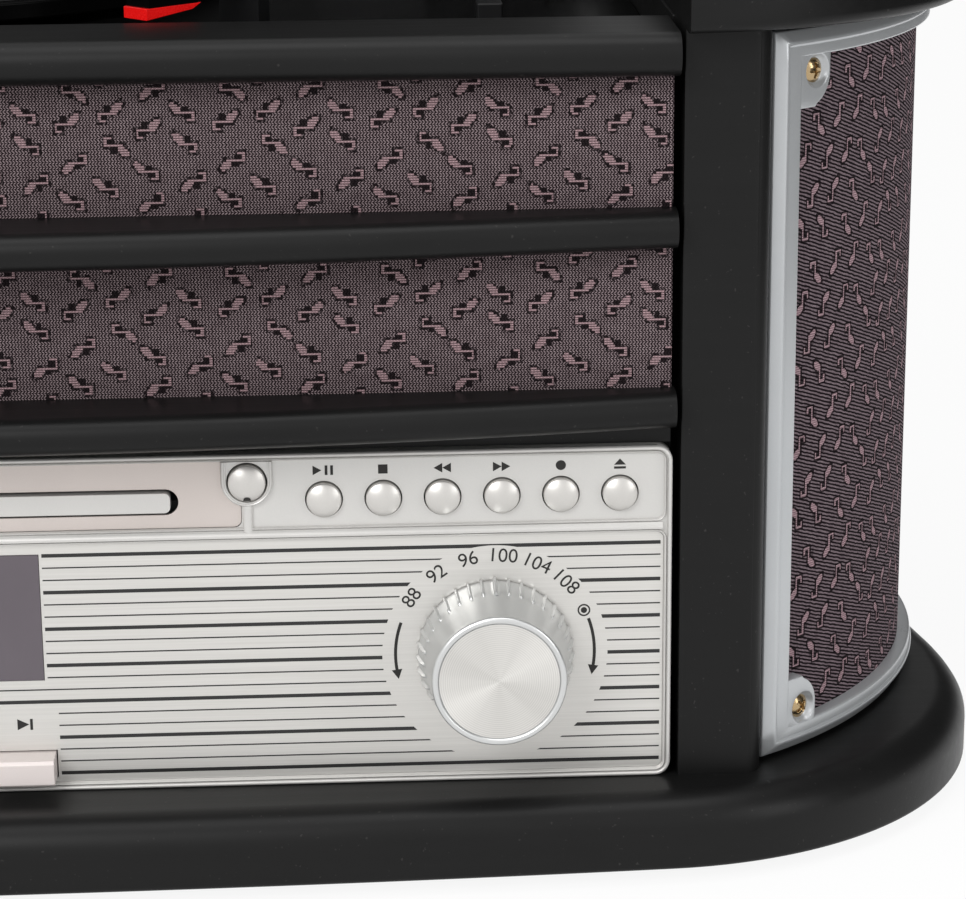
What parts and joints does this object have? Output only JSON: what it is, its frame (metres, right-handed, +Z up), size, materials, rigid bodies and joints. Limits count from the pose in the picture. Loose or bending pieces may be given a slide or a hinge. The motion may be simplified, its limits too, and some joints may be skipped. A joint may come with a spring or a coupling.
{
  "type": "stereo music centre",
  "caption": "Table-top wooden music centre with a lifting lid over a record player, a disc tray, a radio dial, rounded cloth sides and a silver control panel.",
  "frame": {"origin": "on the floor plane, under the middle of the outline with the lid open", "axes": "+X to the object's right as seen from the front, +Y to its back, +Z up; the control panel faces -Y"},
  "size_m": [0.566, 0.4146, 0.5843],
  "materials": {
    "black_wood": "satin black paint over wood",
    "grille_cloth": "woven, dark with small notes",
    "silver_plastic": "silver lacquer, satin",
    "striped_plate": "brushed, with printed lines",
    "tray_plate": "warm grey, satin",
    "display": "dark violet-grey window",
    "button_silver": "silver lacquer, gloss",
    "knob_silver": "spun face and ribbed skirt",
    "brass": "bright",
    "black_plastic": "satin",
    "red_plastic": "gloss",
    "steel": "plain",
    "rubber": "matte",
    "circuit_green": "circuit board",
    "mechanism_grey": "satin"
  },
  "bodies": {
    "cabinet": {"base_board": "black_wood", "rubber_feet": "rubber", "inner_walls": "black_wood", "side_walls": "black_wood", "back_panel": "black_wood", "back_rail": "black_wood", "pilasters": "black_wood", "top_rail": "black_wood", "upper_rail": "black_wood", "lower_rail": "black_wood", "front_board": "black_wood", "front_cloth": "grille_cloth", "left_side_cloth": "grille_cloth", "right_side_cloth": "grille_cloth", "left_side_frame": "silver_plastic", "right_side_frame": "silver_plastic", "frame_screws": "brass", "crown_mouldings": "black_wood", "deck_plate": "black_plastic", "hinge_bases": "steel", "control_panel": "silver_plastic", "striped_plate": "striped_plate", "tray_plate": "tray_plate", "display_window": "display", "cd_mechanism": "mechanism_grey", "control_board": "circuit_green", "speakers": "black_plastic", "drive_belt": "rubber", "drive_motor": "steel", "tonearm_base": "black_plastic", "rear_sockets": "black_plastic"},
    "lid": {"lid_frame": "black_wood", "lid_moulding": "black_wood", "lid_top": "black_wood", "hinge_wings": "steel"},
    "record_platter": {"platter": "black_plastic", "platter_mat": "rubber"},
    "drive_pulley": {"motor_pulley": "brass"},
    "arm_turret": {"tonearm_yoke": "black_plastic"},
    "pickup_arm": {"tonearm": "black_plastic", "stylus_carrier": "red_plastic"},
    "arm_lift_lever": {"lift_lever": "black_plastic"},
    "speed_slider": {"speed_switch": "black_plastic"},
    "disc_tray": {"cd_tray": "silver_plastic"},
    "tuning_dial": {"tuning_knob": "knob_silver"},
    "volume_dial": {"volume_knob": "knob_silver"},
    "play_button_body": {"play_button": "button_silver"},
    "stop_button_body": {"stop_button": "button_silver"},
    "search_back_button_body": {"search_back_button": "button_silver"},
    "search_forward_button_body": {"search_forward_button": "button_silver"},
    "record_button_body": {"record_button": "button_silver"},
    "tray_button_body": {"tray_button": "button_silver"},
    "source_button_body": {"source_button": "button_silver"},
    "program_button_body": {"program_button": "button_silver"},
    "tone_button_body": {"tone_button": "button_silver"},
    "right_dome_button_body": {"right_dome_button": "button_silver"},
    "left_dome_button_body": {"left_dome_button": "button_silver"},
    "left_key_body": {"left_key": "button_silver"},
    "middle_key_body": {"middle_key": "button_silver"},
    "right_key_body": {"right_key": "button_silver"}
  },
  "joints": [
    {"name": "lid_hinge", "type": "hinge", "parent": "cabinet", "child": "lid", "pos_m": [0, 0.1651, 0.2179], "axis": [1, 0, 0], "range_deg": [0, 90]},
    {"name": "platter_spin", "type": "hinge", "parent": "cabinet", "child": "record_platter", "pos_m": [-0.025, -0.0067, 0.21], "axis": [0, 0, 1], "continuous": true},
    {"name": "pulley_spin", "type": "hinge", "parent": "cabinet", "child": "drive_pulley", "pos_m": [-0.087, 0.0373, 0.209], "axis": [0, 0, 1], "continuous": true},
    {"name": "arm_swing", "type": "hinge", "parent": "cabinet", "child": "arm_turret", "pos_m": [0.155, 0.0223, 0.214], "axis": [0, 0, 1], "range_deg": [-38, 0]},
    {"name": "arm_lift", "type": "hinge", "parent": "arm_turret", "child": "pickup_arm", "pos_m": [0.155, 0.0223, 0.228], "axis": [-0.897, 0.442, 0], "range_deg": [0, 5]},
    {"name": "lever_turn", "type": "hinge", "parent": "cabinet", "child": "arm_lift_lever", "pos_m": [0.17, 0.0053, 0.215], "axis": [-1, 0, 0], "range_deg": [0, 60]},
    {"name": "speed_slide", "type": "slide", "parent": "cabinet", "child": "speed_slider", "axis": [1, 0, 0], "range_m": [-0.006, 0.006]},
    {"name": "tray_slide", "type": "slide", "parent": "cabinet", "child": "disc_tray", "axis": [0, -1, 0], "range_m": [0, 0.135]},
    {"name": "tuning_turn", "type": "hinge", "parent": "cabinet", "child": "tuning_dial", "pos_m": [0.1457, -0.1827, 0.0575], "axis": [0, 1, 0], "continuous": true},
    {"name": "volume_turn", "type": "hinge", "parent": "cabinet", "child": "volume_dial", "pos_m": [-0.1457, -0.1827, 0.0575], "axis": [0, 1, 0], "range_deg": [-150, 150]},
    {"name": "play_button_push", "type": "slide", "parent": "cabinet", "child": "play_button_body", "axis": [0, 1, 0], "range_m": [0, 0.0012], "stiffness_N_per_m": 300, "springref_m": -0.001},
    {"name": "stop_button_push", "type": "slide", "parent": "cabinet", "child": "stop_button_body", "axis": [0, 1, 0], "range_m": [0, 0.0012], "stiffness_N_per_m": 300, "springref_m": -0.001},
    {"name": "search_back_button_push", "type": "slide", "parent": "cabinet", "child": "search_back_button_body", "axis": [0, 1, 0], "range_m": [0, 0.0012], "stiffness_N_per_m": 300, "springref_m": -0.001},
    {"name": "search_forward_button_push", "type": "slide", "parent": "cabinet", "child": "search_forward_button_body", "axis": [0, 1, 0], "range_m": [0, 0.0012], "stiffness_N_per_m": 300, "springref_m": -0.001},
    {"name": "record_button_push", "type": "slide", "parent": "cabinet", "child": "record_button_body", "axis": [0, 1, 0], "range_m": [0, 0.0012], "stiffness_N_per_m": 300, "springref_m": -0.001},
    {"name": "tray_button_push", "type": "slide", "parent": "cabinet", "child": "tray_button_body", "axis": [0, 1, 0], "range_m": [0, 0.0012], "stiffness_N_per_m": 300, "springref_m": -0.001},
    {"name": "source_button_push", "type": "slide", "parent": "cabinet", "child": "source_button_body", "axis": [0, 1, 0], "range_m": [0, 0.0012], "stiffness_N_per_m": 300, "springref_m": -0.001},
    {"name": "program_button_push", "type": "slide", "parent": "cabinet", "child": "program_button_body", "axis": [0, 1, 0], "range_m": [0, 0.0012], "stiffness_N_per_m": 300, "springref_m": -0.001},
    {"name": "tone_button_push", "type": "slide", "parent": "cabinet", "child": "tone_button_body", "axis": [0, 1, 0], "range_m": [0, 0.0012], "stiffness_N_per_m": 300, "springref_m": -0.001},
    {"name": "right_dome_button_push", "type": "slide", "parent": "cabinet", "child": "right_dome_button_body", "axis": [0, 1, 0], "range_m": [0, 0.0012], "stiffness_N_per_m": 300, "springref_m": -0.001},
    {"name": "left_dome_button_push", "type": "slide", "parent": "cabinet", "child": "left_dome_button_body", "axis": [0, 1, 0], "range_m": [0, 0.0012], "stiffness_N_per_m": 300, "springref_m": -0.001},
    {"name": "left_key_push", "type": "slide", "parent": "cabinet", "child": "left_key_body", "axis": [0, 1, 0], "range_m": [0, 0.0012], "stiffness_N_per_m": 300, "springref_m": -0.001},
    {"name": "middle_key_push", "type": "slide", "parent": "cabinet", "child": "middle_key_body", "axis": [0, 1, 0], "range_m": [0, 0.0012], "stiffness_N_per_m": 300, "springref_m": -0.001},
    {"name": "right_key_push", "type": "slide", "parent": "cabinet", "child": "right_key_body", "axis": [0, 1, 0], "range_m": [0, 0.0012], "stiffness_N_per_m": 300, "springref_m": -0.001}
  ],
  "couplings": [
    {"joint": "pulley_spin", "follows": "platter_spin", "ratio": 9},
    {"joint": "arm_lift", "follows": "lever_turn", "ratio": 0.083333}
  ]
}
